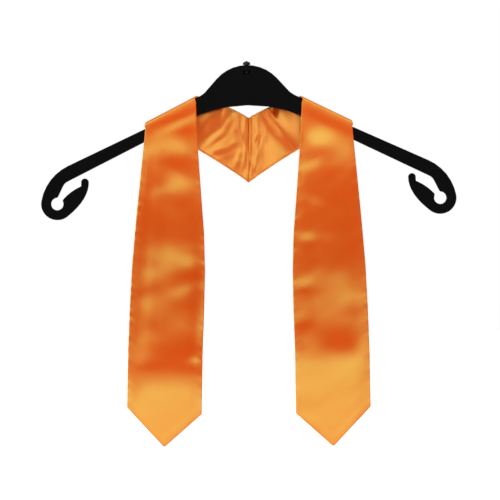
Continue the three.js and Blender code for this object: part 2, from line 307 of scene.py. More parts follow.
def closed_sheet(name: str, grid: ClothGrid, near: np.ndarray, far: np.ndarray) -> bpy.types.Object:
    """Joins two faces of a layer round their common edge.

    Args:
        name: the new object's name.
        grid: the grid that both faces follow.
        near: offset of the face towards the hanger.
        far: offset of the face away from the hanger.

    Returns:
        The object, with a map of the cloth's own metres.
    """
    rows, columns = grid.run.shape
    rim = np.ones((rows, columns), bool)
    rim[1:-1, 1:-1] = False
    middle = np.where(rim, (near + far) / 2, far)
    outer = grid.offset(middle).reshape(-1, 3)
    inner = grid.offset(near)[1:-1, 1:-1].reshape(-1, 3)
    front = np.arange(rows * columns).reshape(rows, columns)
    back = front.copy()
    back[1:-1, 1:-1] = rows * columns + np.arange(len(inner)).reshape(rows - 2, columns - 2)

    def quads(index: np.ndarray) -> np.ndarray:
        """The faces of one grid of vertex numbers."""
        corners = [index[:-1, :-1], index[:-1, 1:], index[1:, 1:], index[1:, :-1]]
        return np.stack(corners, axis=-1).reshape(-1, 4)

    mesh = bpy.data.meshes.new(name)
    faces = np.concatenate([quads(front), quads(back)[:, ::-1]])
    mesh.from_pydata(np.concatenate([outer, inner]).tolist(), [], faces.tolist())
    cloth = mesh.uv_layers.new(name="cloth")
    places = np.concatenate([grid.weave.reshape(-1, 2), grid.weave[1:-1, 1:-1].reshape(-1, 2)])
    cloth.uv.foreach_set("vector", places[faces.reshape(-1)].reshape(-1))
    mesh.shade_smooth()
    mesh.validate()
    made = bpy.data.objects.new(name, mesh)
    bpy.context.scene.collection.objects.link(made)
    return made


def turn_outward(made: bpy.types.Object) -> None:
    """Turns every face of a closed object outward.

    Args:
        made: the object.
    """
    work = bmesh.new()
    work.from_mesh(made.data)
    bmesh.ops.recalc_face_normals(work, faces=work.faces)
    work.to_mesh(made.data)
    work.free()


@dataclass(frozen=True)
class Ripples:
    """Faint unevenness of hanging cloth, as a sum of seeded waves.

    Wander is how far the waves turn off the cloth's length, in radians.
    """

    seed: int
    height: float = 0.06 * MM
    shortest: float = 22 * MM
    longest: float = 70 * MM
    waves: int = 18
    wander: float = 0.3

    def __call__(self, breadth: np.ndarray, run: np.ndarray) -> np.ndarray:
        """Height of the ripples.

        Args:
            breadth: distance across the cloth.
            run: distance along the cloth.

        Returns:
            Their height at each place.
        """
        rng = np.random.default_rng(self.seed)
        total = np.zeros_like(run)
        for _ in range(self.waves):
            length = rng.uniform(self.shortest, self.longest)
            way = rng.normal(0, self.wander)
            phase = rng.uniform(0, 2 * math.pi)
            place = run * math.cos(way) + breadth * math.sin(way)
            total += length / self.longest * np.sin(2 * math.pi * place / length + phase)
        return self.height * total / math.sqrt(self.waves / 2)


@dataclass(frozen=True)
class Puckers:
    """Short waves that the stitching draws into the long edges.

    Reach is how far they run into the cloth, and phases is the range in radians that the
    waves' starts are drawn from.
    """

    seed: int
    height: float = 0.07 * MM
    reach: float = 4.5 * MM
    shortest: float = 11 * MM
    longest: float = 26 * MM
    waves: int = 4
    phases: float = 6.28

    def __call__(self, run: np.ndarray, to_sides: np.ndarray) -> np.ndarray:
        """Height of the puckers.

        Args:
            run: distance along the cloth.
            to_sides: distance to the nearer long edge.

        Returns:
            Their height at each place.
        """
        rng = np.random.default_rng(self.seed)
        total = np.zeros_like(run)
        for _ in range(self.waves):
            length = rng.uniform(self.shortest, self.longest)
            total += np.sin(2 * math.pi * run / length + rng.uniform(0, self.phases))
        return self.height * total * np.exp(-to_sides / self.reach)


@dataclass(frozen=True)
class Spacing:
    """Where the rows and columns of the cloth's grid lie.

    They are closer together at the seam, at the fold's corners, at the long edges and at
    the pointed end. Seam rows, point rows and edge columns are distances in millimetres
    from there, and corner rows are angles in radians.
    """

    neck_run: float = 118 * MM
    seam_rows: tuple[float, ...] = (0, 0.12, 0.5, 1.0, 1.8)
    neck_start: float = 3 * MM
    neck_step: float = 1.9 * MM
    corner_rows: tuple[float, ...] = (0, 0.02)
    turn_rows: int = 13
    front_start: float = 2 * MM
    front_step: float = 2.4 * MM
    point_run: float = 16 * MM
    point_rows: tuple[float, ...] = (14, 12, 10.5, 9, 6.5, 4.5, 3.2, 2.6, 2, 1.4, 0.9, 0.45, 0.12, 0)
    edge_columns: tuple[float, ...] = (0, 0.1, 0.4, 0.8, 1.3, 1.8, 2.3, 2.9, 4, 6, 8, 9, 9.8, 10.6, 12)
    middle_columns: int = 28

    def rows(self, drop: float, end: float) -> list[tuple[Zone, float]]:
        """Places of the rows, from the back seam to the pointed end.

        Args:
            drop: the front's length.
            end: how far down the front the last row lies.

        Returns:
            Each row's zone, and its place there: a share of the way from the seam to the
            fold, an angle over the rail or a share of the drop.
        """
        seam = np.array(self.seam_rows) * MM
        even = np.arange(self.neck_start, self.neck_run - self.neck_step, self.neck_step)
        neck = np.concatenate([seam, even]) / self.neck_run
        corner = np.array(self.corner_rows)
        turn = np.linspace(0, math.pi, self.turn_rows + 2)[1:-1]
        fold = np.concatenate([corner, turn, math.pi - corner[::-1]])
        even = np.arange(self.front_start, end - self.point_run, self.front_step)
        front = np.concatenate([even, end - np.array(self.point_rows) * MM]) / drop
        zones = {Zone.NECK: neck, Zone.FOLD: fold, Zone.FRONT: front}
        return [(zone, float(place)) for zone, places in zones.items() for place in places]

    def columns(self, width: float, inset: float) -> np.ndarray:
        """Places of the columns on a row.

        Args:
            width: the row's whole width.
            inset: how far the outer columns stay from the shell's edges.

        Returns:
            Their shares across the row.
        """
        edge = inset + np.array(self.edge_columns) * MM
        middle = np.linspace(edge[-1], width - edge[-1], self.middle_columns + 2)[1:-1]
        return np.concatenate([edge, middle, width - edge[::-1]]) / width


@dataclass(frozen=True)
class Stole:
    """Sizes that both halves of the stole share. Angles are in degrees."""

    # The two layers and their rounded, set-in edges.
    shell_wall: float = 1.0 * MM
    lining_wall: float = 1.0 * MM
    layer_gap: float = 0.3 * MM
    lining_inset: float = 2.2 * MM
    edge_radius: float = 0.8 * MM

    # The fold over the rail. Its back is slid inward along the rail and its front outward.
    rail_radius: float = 5.3 * MM
    fold_squareness: float = 16.0
    slid_back: float = 2.6 * MM
    slid_front: float = 6.0 * MM

    # The front, which widens down to a slanted end that leans forward and has a point. The
    # rail's slant is gone by slant_share of the drop, and the point starts at point_share.
    front_drop: float = 428 * MM
    front_splay: float = 8.8 * MM
    front_cant: float = 0.25
    slant_share: float = 0.4
    end_width: float = 108 * MM
    end_slant: float = 9.8 * MM
    end_lean: float = 6.5
    point_share: float = 0.7
    point_drop: float = 52.4 * MM
    point_slope: float = 44.0

    # The neckpiece, whose seam stands back and whose two edges bow up. Its pleats fade out
    # over pleats_end, a span of shares from the seam to the fold, and are eased in the shell.
    seam_bow: float = 7 * MM
    seam_lift: float = 2.4 * MM
    neck_bow: float = 4.2 * MM
    hem_bow: float = 4.6 * MM
    neck_cant: float = 2.9
    pleats_end: Span = (0.78, 1.0)
    shell_ease: float = 1.8

    # Where the cloth is free to ripple: shares down the front, and out from the seam.
    front_freed: Span = (0.05, 0.2)
    seam_freed: Span = (0.0, 0.1)
    fold_held: Span = (0.7, 1.0)
    ripple_seed: int = 7
    pucker_seed: int = 30

    # The back seam's groove, the rolled outer edge and the turned-in allowance, which shows
    # through and ends in a soft step.
    seam_groove: float = 0.9 * MM
    groove_reach: float = 3.5 * MM
    roll_reach: float = 12 * MM
    allowance: float = 10 * MM
    allowance_rise: float = 0.07 * MM
    allowance_start: float = 3 * MM
    allowance_step: float = 1.5 * MM

    # Where the shell's edge stops wrapping round the lining, how near the back seam it
    # doesn't wrap, and the share of the drop by which its weave hangs level.
    wrap_end: Span = (1.9 * MM, 2.9 * MM)
    seam_flat: float = 4 * MM
    weave_level: float = 0.15

    @property
    def shell_base(self) -> float:
        """Height of the shell's inner face over the rail's side of the cloth."""
        return self.lining_wall + self.layer_gap

    @property
    def cloth_top(self) -> float:
        """Height of the shell's outer face over the rail's side of the cloth."""
        return self.shell_base + self.shell_wall


# Rows of the front, each as its share of the drop, of the widening and of the splay.
SECTIONS = np.array(
    [
        (0.00, 0.00, 0.00),
        (0.12, 0.19, 0.06),
        (0.25, 0.46, 0.08),
        (0.39, 0.76, 0.13),
        (0.52, 0.94, 0.34),
        (0.65, 0.99, 0.58),
        (0.80, 1.00, 0.85),
        (1.00, 1.00, 1.00),
    ]
)

# The front's swells and hollows.
CANTS: dict[Side, list[Cant]] = {
    Side.LEFT: [
        Cant(-107, -75, 5.8, 49, 0.46, 1.2),
        Cant(-107, -84, 4.6, 49, 0.34, -3),
        Cant(-95, -92, 6.5, 36, 0.42, 3.6),
        Cant(-117, -123, 17.4, 32, 0.1, 3.6),
        Cant(-92, -130, 11.6, 17, -0.2, 2.8),
        Cant(-146, -132, 13, 17, 0.2, 2.4),
        Cant(-86, -104, 5.8, 16, 0.05, -2),
        Cant(-105, -149, 8.7, 19, 0, -2),
        Cant(-147, -164, 17.4, 17, 0, 2),
        Cant(-95, -180, 17.4, 26, 0.05, 4.2),
        Cant(-125, -190, 8.7, 19, 0.3, 2.2),
        Cant(-80, -216, 8.7, 13, 0, 2),
        Cant(-111, -233, 24.6, 58, 0, -1),
        Cant(-114, -280, 17.4, 35, 0, 3.2),
        Cant(-82, -290, 11.6, 17, 0, 3.6),
        Cant(-82, -271, 10.2, 20, 0, 1.4),
        Cant(-130, -307, 14.5, 26, 0.2, 2.6),
        Cant(-85, -313, 7.2, 20, 0, -3),
        Cant(-146, -334, 7.2, 19, 0.2, -2),
        Cant(-88, -332, 8.7, 22, 0.25, 3.2),
        Cant(-143, -355, 9.4, 19, 0, 1.6),
        Cant(-89, -357, 8.7, 19, 0, -1.4),
        Cant(-136, -383, 7.2, 17, 0, -0.8),
        Cant(-82, -390, 10.2, 20, -0.5, 1.4),
        Cant(-153, -407, 8.7, 16, 0, 1.4),
        Cant(-99, -420, 15.9, 26, 0, -2.4),
        Cant(-75, -434, 6.5, 10, 0, 4.4),
        Cant(-156, -435, 18.8, 17, 0, 2.8),
        Cant(-140, -445, 5.8, 19, 0.1, -2.6),
        Cant(-79, -448, 5.1, 13, 0, -1),
        Cant(-118, -373, 69.6, 102, 0, 3),
        Cant(-140, -383, 43.5, 9, 0, -0.6),
        Cant(-108, -368, 13, 17, 0, -1.2),
        Cant(-67, -383, 34.8, 9, 0, 2),
        Cant(-160, -477, 14.5, 14, 0, -1.8),
        Cant(-70, -477, 13, 12, 0, -1.4),
        Cant(-72, -439, 7.2, 16, 0, 1.2),
        Cant(-165, -422, 11.6, 22, 0, 0.9),
        Cant(-140, -357, 7.2, 35, 0, -0.7),
        Cant(-78, -297, 8.7, 12, 0, 1),
    ],
    Side.RIGHT: [
        Cant(117, -77, 5.1, 44, -0.5, 1),
        Cant(117, -88, 7.2, 52, -0.44, -5.2),
        Cant(117, -113, 23.2, 38, -0.25, 3.8),
        Cant(105, -112, 12.3, 19, 0, 5),
        Cant(144, -132, 14.5, 17, -0.35, 2.2),
        Cant(79, -110, 10.2, 7, 0, -2.4),
        Cant(82, -120, 5.8, 9, 0, -0.8),
        Cant(104, -130, 7.2, 10, 0, -0.4),
        Cant(91, -153, 8.7, 19, 0.25, 4),
        Cant(82, -158, 5.8, 10, 0, 0.4),
        Cant(136, -149, 13, 22, 0, 2.2),
        Cant(141, -174, 11.6, 10, 0, 0.8),
        Cant(94, -202, 7.2, 20, -0.35, 2.6),
        Cant(86, -255, 8.7, 14, 0, 5),
        Cant(115, -256, 8.7, 23, 0, 2.2),
        Cant(82, -268, 4.3, 14, 0, -1.2),
        Cant(85, -322, 7.2, 14, 0.15, 2.8),
        Cant(99, -310, 8.7, 20, 0.3, 1.4),
        Cant(82, -335, 5.8, 14, 0, -2.2),
        Cant(127, -355, 55.1, 87, 0, 4.4),
        Cant(141, -323, 18.8, 22, 0, 2),
        Cant(157, -341, 8.7, 17, 0, 1.8),
        Cant(79, -371, 7.2, 10, 0, 1.4),
        Cant(125, -357, 8.7, 13, 0, -0.8),
        Cant(85, -384, 7.2, 12, 0, -2.2),
        Cant(152, -365, 7.2, 14, 0, -1.4),
        Cant(133, -402, 17.4, 26, 0, -1.9),
        Cant(150, -354, 43.5, 26, 0, 1),
        Cant(91, -409, 13, 19, 0, 3.2),
        Cant(173, -412, 15.9, 17, 0.3, 4.6),
        Cant(162, -383, 23.2, 17, 0, 2),
        Cant(107, -434, 7.2, 20, 0, -1),
        Cant(175, -445, 20.3, 13, 0, -1.8),
        Cant(163, -406, 11.6, 12, 0, 1.4),
    ],
}

# Where the neckpiece leans away from the light or into it.
NECK_CANTS: dict[Side, list[Cant]] = {
    Side.LEFT: [
        Cant(-40, -75, 8.7, 8.7, 0.7, -12),
        Cant(-46, -96, 14.5, 11.6, 0.8, -10),
        Cant(-65, -97, 13, 5.8, 0, -10),
        Cant(-38, -110, 5.1, 18.8, 0.8, 4.5),
        Cant(-41, -120, 3.8, 15.9, 0.5, 3),
        Cant(-44, -115, 3.6, 13, 0.6, -5),
        Cant(-34, -125, 4.3, 20.3, 0.6, -6),
        Cant(-30, -142, 5.1, 15.9, 0.3, -4),
        Cant(-14, -157, 5.1, 11.6, 0.6, -5),
        Cant(-12, -144, 5.8, 8.7, 0.6, 4),
        Cant(-4, -112, 20.3, 3.6, 0, -4),
        Cant(-4, -164, 8.7, 5.8, 0, 4),
        Cant(-50, -139, 8.7, 18.8, -0.6, 6),
        Cant(-27, -109, 14.5, 5.8, 0, 2.5),
    ],
    Side.RIGHT: [
        Cant(32, -86, 13, 17, -1.3, -11),
        Cant(49, -107, 14.5, 19, -1.3, -15),
        Cant(22, -132, 26.1, 3.5, 0, -7),
        Cant(78, -100, 20.3, 5.1, 0, -8),
        Cant(6, -135, 23.2, 3.3, 0, -6),
        Cant(38, -129, 17.4, 17.4, 0, 5),
        Cant(43, -144, 8.7, 23.2, 0.5, 5),
        Cant(65, -92, 18.8, 14.5, -1.2, 9),
        Cant(13, -126, 29, 2.9, 0, 2),
    ],
}

# The neckpiece's gathers, from its upper edge down to the hem.
PLEATS: dict[Side, list[Pleat]] = {
    Side.LEFT: [
        Pleat(8.0, 1.1, ((-21, -81), (-34, -102), (-50, -116), (-63, -128))),
        Pleat(7.2, 0.9, ((-14, -115), (-27, -125), (-49, -132))),
        Pleat(5.8, 1.0, ((-8, -129), (-15, -149))),
        Pleat(3.8, 0.7, ((-20, -74), (-15, -103))),
        Pleat(3.5, 1.2, ((-5, -91), (-1, -112), (-2, -129), (-5, -151), (-9, -164))),
        Pleat(2.6, -1.0, ((-9, -83), (-8, -106), (1, -132), (1, -161))),
    ],
    Side.RIGHT: [
        Pleat(
            2.9, 1.6, ((11, -84), (14, -100), (15, -106), (11, -117), (15, -135), (12, -152), (7, -164))
        ),
        Pleat(2.6, -1.4, ((18, -84), (21, -109), (18, -126), (21, -148))),
        Pleat(3.2, 1.0, ((5, -141), (14, -161))),
        Pleat(4.3, 0.8, ((28, -83), (28, -115))),
        Pleat(2.3, -1.2, ((7, -80), (8, -115), (7, -144), (4, -167))),
    ],
}


@dataclass(frozen=True)
class Half:
    """Sizes in which the two halves differ.

    The end leans forward below lean_height, over a turn of lean_reach, and the outer edge
    is rolled back by edge_roll.
    """

    lean_height: float
    lean_reach: float
    edge_roll: float


HALVES: dict[Side, Half] = {
    Side.LEFT: Half(lean_height=-460 * MM, lean_reach=46 * MM, edge_roll=0.4 * MM),
    Side.RIGHT: Half(lean_height=-425 * MM, lean_reach=34 * MM, edge_roll=0.3 * MM),
}


class StoleSide:
    """One half of the stole, from the back seam over the rail to the pointed end."""

    def __init__(self, side: Side, sizes: Stole) -> None:
        """Reads the half's place from the frame.

        Args:
            side: which half.
            sizes: the sizes that both halves share.
        """
        self.side = side
        self.sizes = sizes
        self.half = HALVES[side]
        self.spacing = Spacing()
        self.fold = FoldLine.read(side, sizes.cloth_top)
        shells = [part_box(f"{s.word}_shell") for s in Side]
        self.seam_x = (shells[0][1].x + shells[1][0].x) / 2
        self.seam_top, self.seam_foot = self._seam()
        self.flat_run = 0.0
        self.flat_area = 0.0

    def _seam(self) -> Span:
        """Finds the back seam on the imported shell.

        Returns:
            The heights of its top and its foot.
        """
        points = shell_points(self.side)
        seam = points[np.abs(points[:, 0] - self.seam_x) < SEAM_DEPTH]
        return float(seam[:, 2].max()), float(seam[:, 2].min())

    def _fold_row(self, angle: float, across: np.ndarray) -> np.ndarray:
        """A row of the cloth over the rail.

        Args:
            angle: radians over the rail, 0 at its back and pi at its front.
            across: shares across the row, from the neck edge out.

        Returns:
            The row's points.
        """
        radius = self.sizes.rail_radius
        share = 2 * angle / math.pi - 1
        slid = share * (self.sizes.slid_back if share < 0 else self.sizes.slid_front)
        power = 2 / self.sizes.fold_squareness
        height = radius * (math.sin(angle) ** power - 1)
        behind = radius * math.copysign(abs(math.cos(angle)) ** power, math.cos(angle))
        start = self.fold.inner + self.fold.along * slid + self.fold.outward * height
        start = start + np.array([0, behind, 0])
        return start + np.outer(across * self.fold.length, self.fold.along)

    def _neck_row(self, out: float, across: np.ndarray) -> np.ndarray:
        """A row of the neckpiece, before its folds.

        Args:
            out: share of the way from the seam to the fold.
            across: shares across the row, from the neck edge to the hem.

        Returns:
            The row's points.
        """
        sizes = self.sizes
        neck_end, hem_end = self._fold_row(0, np.array([0.0, 1.0]))
        neck = (1 - out) * np.array([self.seam_x, 0, self.seam_top]) + out * neck_end
        hem = (1 - out) * np.array([self.seam_x, 0, self.seam_foot]) + out * hem_end
        lift = sizes.seam_lift * (1 - out)
        neck[2] += lift + sizes.neck_bow * arch(out)
        hem[2] += lift + sizes.hem_bow * arch(out)
        row = neck + np.outer(across, hem - neck)
        row[:, 1] = sizes.rail_radius + sizes.seam_bow * (1 - smooth(out, 0, 1))
        return row

    def _front_row(self, down: float, across: np.ndarray) -> np.ndarray:
        """A row of the front, before its folds.

        Args:
            down: share of the front's drop.
            across: shares across the row, from the neck edge out.

        Returns:
            The row's points.
        """
        sizes = self.sizes
        inner, outer = self._fold_row(math.pi, np.array([0.0, 1.0]))
        widening = np.interp(down, SECTIONS[:, 0], SECTIONS[:, 1])
        drift = np.interp(down, SECTIONS[:, 0], SECTIONS[:, 2])
        middle = (inner + outer) / 2
        middle[0] += self.side.value * sizes.front_splay * drift
        middle[2] -= sizes.front_drop * down
        width = abs(outer[0] - inner[0])
        half = (width + (sizes.end_width - width) * widening) / 2
        eased = (1 - min(1.0, down / sizes.slant_share)) ** 2
        slant = (outer[2] - inner[2]) / 2 * eased + sizes.end_slant / 2 * (1 - eased)
        reach = 2 * across - 1
        row = np.tile(middle, (len(across), 1))
        row[:, 0] += self.side.value * reach * half
        pointed = smooth(down, sizes.point_share, 1)
        row[:, 2] += reach * slant - sizes.point_drop * (1 - np.abs(reach)) * pointed
        return row

    def bare_grid(self, inset: float) -> tuple[ClothGrid, np.ndarray, np.ndarray]:
        """The half without its folds.

        Args:
            inset: how far the grid stays inside the shell's long edges and point.

        Returns:
            The grid, the share down the front and the share out from the seam at each
            point, which are negative outside their zones.
        """
        sizes = self.sizes
        makers = {Zone.NECK: self._neck_row, Zone.FOLD: self._fold_row, Zone.FRONT: self._front_row}
        ends = np.array([0.0, 1.0])
        points, down, out = [], [], []
        last_row = sizes.front_drop - inset / math.cos(math.radians(sizes.point_slope))
        for zone, place in self.spacing.rows(sizes.front_drop, last_row):
            first, last = makers[zone](place, ends)
            shares = self.spacing.columns(float(np.linalg.norm(last - first)), inset)
            points.append(makers[zone](place, shares))
            down.append(np.full_like(shares, place if zone is Zone.FRONT else -1))
            out.append(np.full_like(shares, place if zone is Zone.NECK else -1))
        return ClothGrid(np.array(points), self.side), np.array(down), np.array(out)

    def _front_folds(self, grid: ClothGrid, down: np.ndarray) -> np.ndarray:
        """How far the front's folds stand out, from its canted patches.

        Args:
            grid: the bare grid.
            down: shares down the front.

        Returns:
            The distance towards the viewer.
        """
        sizes = self.sizes
        past = self.half.lean_height - grid.points[:, :, 2]
        free = (down >= 0) & (past < 0)
        cant = sum(patch.at(grid.points) for patch in CANTS[self.side])
        steps = np.diff(grid.run, axis=0, prepend=grid.run[:1])
        # Each column is turned as a whole, so that its free part has a mean of front_cant.
        mean = (cant * steps * free).sum(axis=0) / (steps * free).sum(axis=0)
        reach = self.half.lean_reach
        leaning = smooth(past, -reach / 2, reach / 2)
        free_cant = sizes.front_cant - mean
        cant = cant + free_cant * (1 - leaning) + sizes.end_lean * leaning
        turned = np.tan(np.radians(cant))
        return np.cumsum(turned * steps * (down >= 0), axis=0)

    def _neck_folds(self, grid: ClothGrid, out: np.ndarray, ease: float) -> np.ndarray:
        """How far the neckpiece's folds stand out.

        Args:
            grid: the bare grid.
            out: shares out from the seam.
            ease: widens and lowers every pleat, for the layer behind.

        Returns:
            The distance towards the viewer.
        """
        sizes = self.sizes
        turns = sum(patch.at(grid.points) for patch in NECK_CANTS[self.side])
        slope = np.tan(np.radians(sizes.neck_cant + turns / ease))
        fall = -np.diff(grid.points[:, :, 2], axis=1, prepend=grid.points[:, :1, 2])
        stand = np.cumsum(slope * fall, axis=1)
        stand -= stand.mean(axis=1, keepdims=True)
        stand += sum(pleat.at(grid.points, ease) for pleat in PLEATS[self.side])
        return stand * (out >= 0) * (1 - smooth(out, *sizes.pleats_end))

    def grid(self, layer: Layer) -> ClothGrid:
        """The half with all its folds, for one layer, whose flat size it keeps.

        Args:
            layer: which layer of cloth.

        Returns:
            The grid of the cloth's hanger side.
        """
        sizes = self.sizes
        lining = layer is Layer.LINING
        bare, down, out = self.bare_grid(sizes.lining_inset if lining else 0)
        self.flat_area = bare.area()
        self.flat_run = float(np.median(bare.run[-1]))
        ease = 1 if lining else sizes.shell_ease
        stand = self._front_folds(bare, down) + self._neck_folds(bare, out, ease)
        stand -= sizes.seam_groove * bump(bare.run, sizes.groove_reach)
        hanging = smooth(down, *sizes.front_freed)
        loose = hanging + smooth(out, *sizes.seam_freed) * (1 - smooth(out, *sizes.fold_held))
        stand += Ripples(sizes.ripple_seed + self.side.value)(bare.breadth, bare.run) * loose
        from_outer = bare.breadth[:, -1:] - bare.breadth
        stand -= self.half.edge_roll * (1 - smooth(from_outer, 0, sizes.roll_reach)) * hanging
        stand += Puckers(sizes.pucker_seed + self.side.value)(bare.run, bare.to_sides()) * loose
        points = bare.points.copy()
        points[:, :, 1] -= stand
        made = ClothGrid(points, self.side)
        level = np.median(points[:, :, 2], axis=1, keepdims=True) - points[:, :, 2]
        row_run = np.median(bare.run, axis=1, keepdims=True)
        hung = row_run + level * smooth(down, 0, sizes.weave_level)
        made.weave = np.stack([bare.breadth, hung], axis=-1)
        return made

    def shell(self) -> bpy.types.Object:
        """The outer satin, whose pressed edges wrap round to the lining.

        Returns:
            The closed piece.
        """
        sizes = self.sizes
        grid = self.grid(Layer.SHELL)
        edge = np.minimum(grid.to_sides(), grid.to_point(sizes.point_slope))
        edge_drop = rounding(edge, sizes.edge_radius)
        seam_drop = rounding(grid.run, sizes.shell_wall / 2)
        fold_in, soft = sizes.allowance, sizes.allowance_step
        single = smooth(edge, fold_in - soft, fold_in + soft)
        rise = sizes.allowance_rise * (1 - single) * smooth(edge, 0, sizes.allowance_start)
        far = sizes.cloth_top - edge_drop - seam_drop + rise
        near = edge_drop + smooth(edge, *sizes.wrap_end) * sizes.shell_base
        near = np.where(grid.run < sizes.seam_flat, np.maximum(near, sizes.shell_base), near)
        near = np.minimum(near + seam_drop, far)
        return closed_sheet(f"{self.side.word}_satin", grid, near, far)

    def lining(self) -> bpy.types.Object:
        """The lining, set in from the shell's edges.

        Returns:
            The closed piece.
        """
        sizes = self.sizes
        grid = self.grid(Layer.LINING)
        edge = np.minimum(grid.to_sides(), grid.to_point(sizes.point_slope))
        drop = rounding(np.minimum(edge, grid.run), sizes.lining_wall / 2)
        return closed_sheet(f"{self.side.word}_lining_satin", grid, drop, sizes.lining_wall - drop)

    def build(self, satin: bpy.types.Material, inside: bpy.types.Material) -> list[bpy.types.Object]:
        """Makes both layers and ties them to the frame.

        Args:
            satin: the shell's finish.
            inside: the lining's finish, whose darker base colour is partly painted shade.

        Returns:
            The two pieces.
        """
        made = []
        for layer, finish in ((Layer.LINING, inside), (Layer.SHELL, satin)):
            piece = self.lining() if layer is Layer.LINING else self.shell()
            turn_outward(piece)
            piece.data.materials.append(finish)
            node = f"{self.side.word}_{layer.value}"
            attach(piece, "root")
            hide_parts(node)
            made.append(piece)
            log.info("%s stands for %s", piece.name, node)
        return made


# Where most of a noise's values lie, and how rough it is.
NOISE_SPAN: Span = (0.3, 0.7)
NOISE_ROUGHNESS = 0.55

# The colour sockets of a mix node, which share their names with other sockets.
MIX_FIRST, MIX_SECOND, MIX_RESULT = 6, 7, 2


class NodeBoard:
    """A material's node tree with short ways to add and link nodes."""

    def __init__(self, name: str) -> None:
        """Starts an empty tree with its shader and output.

        Args:
            name: the material's name.
        """
        self.material = bpy.data.materials.new(name)
        self.material.use_nodes = True
        self.tree = self.material.node_tree
        self.tree.nodes.clear()
        self.shader = self.add("ShaderNodeBsdfPrincipled")
        output = self.add("ShaderNodeOutputMaterial")
        self.link(self.shader, "BSDF", output, "Surface")

    def add(self, kind: str, **values: object) -> bpy.types.Node:
        """Adds a node.

        Args:
            kind: the node's type.
            **values: its inputs by name, with underscores for spaces, or its properties.

        Returns:
            The node.
        """
        node = self.tree.nodes.new(kind)
        for key, value in values.items():
            socket = key.replace("_", " ")
            if socket in node.inputs:
                node.inputs[socket].default_value = value
            else:
                setattr(node, key, value)
        return node

    def link(self, source: bpy.types.Node, output: Socket, target: bpy.types.Node, socket: Socket) -> None:
        """Joins one node's output to another's input."""
        self.tree.links.new(source.outputs[output], target.inputs[socket])

    def set(self, **values: object) -> None:
        """Sets the shader's own sockets, with underscores for spaces."""
        for key, value in values.items():
            self.shader.inputs[key.replace("_", " ")].default_value = value

    def stretched(self, source: str, scale: Triple) -> bpy.types.Node:
        """Coordinates stretched by a scale.

        Args:
            source: "UV" for the cloth's own metres or "Object" for the frame's.
            scale: repeats to the metre each way.

        Returns:
            The mapping node.
        """
        place = self.add("ShaderNodeTexCoord")
        mapping = self.add("ShaderNodeMapping", Scale=scale)
        self.link(place, source, mapping, "Vector")
        return mapping

    def noise(self, source: str, scale: Triple, detail: float) -> bpy.types.Node:
        """Noise over stretched coordinates.

        Args:
            source: "UV" for the cloth's own metres or "Object" for the frame's.
            scale: repeats to the metre each way.
            detail: how many finer layers it has.

        Returns:
            The noise node.
        """
        node = self.add("ShaderNodeTexNoise", Scale=1.0, Detail=detail, Roughness=NOISE_ROUGHNESS)
        self.link(self.stretched(source, scale), "Vector", node, "Vector")
        return node

    def ranged(self, source: bpy.types.Node, low: float, high: float) -> bpy.types.Node:
        """Noise spread over a range of values.

        Args:
            source: the noise node.
            low: what its darker parts become.
            high: what its lighter parts become.

        Returns:
            The node whose Result holds the value.
        """
        least, most = NOISE_SPAN
        node = self.add("ShaderNodeMapRange", From_Min=least, From_Max=most, To_Min=low, To_Max=high)
        self.link(source, "Fac", node, "Value")
        return node

    def colour(self, low: Triple, high: Triple, share: bpy.types.Node) -> None:
        """Gives the shader a colour between two.

        Args:
            low: the colour where the share is 0.
            high: the colour where the share is 1.
            share: the node whose first output says how far between.
        """
        blend = self.add("ShaderNodeMix", data_type="RGBA")
        blend.inputs[MIX_FIRST].default_value = (*low, 1)
        blend.inputs[MIX_SECOND].default_value = (*high, 1)
        self.link(share, 0, blend, "Factor")
        self.link(blend, MIX_RESULT, self.shader, "Base Color")

    def relief(self, source: bpy.types.Node, strength: float, height: float) -> bpy.types.Node:
        """Fine relief from a node's first output.

        Args:
            source: the node that holds the heights.
            strength: how strongly it tells.
            height: its full height.

        Returns:
            The bump node.
        """
        node = self.add("ShaderNodeBump", Strength=strength, Distance=height)
        self.link(source, 0, node, "Height")
        return node


@dataclass(frozen=True)
class SatinFinish:
    """Polyester satin: long warp floats with a broad, warm sheen.

    Scales are repeats to the metre across and along the cloth.
    """

    name: str
    light: Triple
    deep: Triple
    sheen: Triple
    ior: float = 2.0
    roughness: float = 0.28
    anisotropy: float = 0.7
    cloud_scale: Triple = (16, 5, 1)
    cloud_range: Span = (0.1, 0.55)
    slub_scale: Triple = (420, 45, 1)
    slub_share: float = 0.45
    warp_scale: Triple = (2600, 2600 / 14, 1)
    warp_strength: float = 0.3
    warp_height: float = 0.03 * MM
    fuzz: float = 0.02
    fuzz_roughness: float = 0.4
    fuzz_colour: Triple = (1.0, 0.6, 0.25)

    def make(self) -> bpy.types.Material:
        """Builds the material.

        Returns:
            The satin, for a mesh whose map holds the cloth's own metres.
        """
        board = NodeBoard(self.name)
        clouds = board.ranged(board.noise("UV", self.cloud_scale, detail=4.0), *self.cloud_range)
        slubs = board.ranged(board.noise("UV", self.slub_scale, detail=2.0), 0.0, 1.0)
        shade = board.add("ShaderNodeMath", operation="MULTIPLY_ADD")
        shade.inputs[1].default_value = self.slub_share
        board.link(slubs, "Result", shade, 0)
        board.link(clouds, "Result", shade, 2)
        board.colour(self.deep, self.light, shade)
        warp = board.noise("UV", self.warp_scale, detail=1.0)
        threads = board.relief(warp, self.warp_strength, self.warp_height)
        board.link(threads, "Normal", board.shader, "Normal")
        grain = board.add("ShaderNodeTangent", direction_type="UV_MAP", uv_map="cloth")
        board.link(grain, "Tangent", board.shader, "Tangent")
        board.set(
            Roughness=self.roughness,
            IOR=self.ior,
            Specular_IOR_Level=1.0,
            Specular_Tint=(*self.sheen, 1),
            Anisotropic=self.anisotropy,
            Sheen_Weight=self.fuzz,
            Sheen_Roughness=self.fuzz_roughness,
            Sheen_Tint=(*self.fuzz_colour, 1),
        )
        return board.material


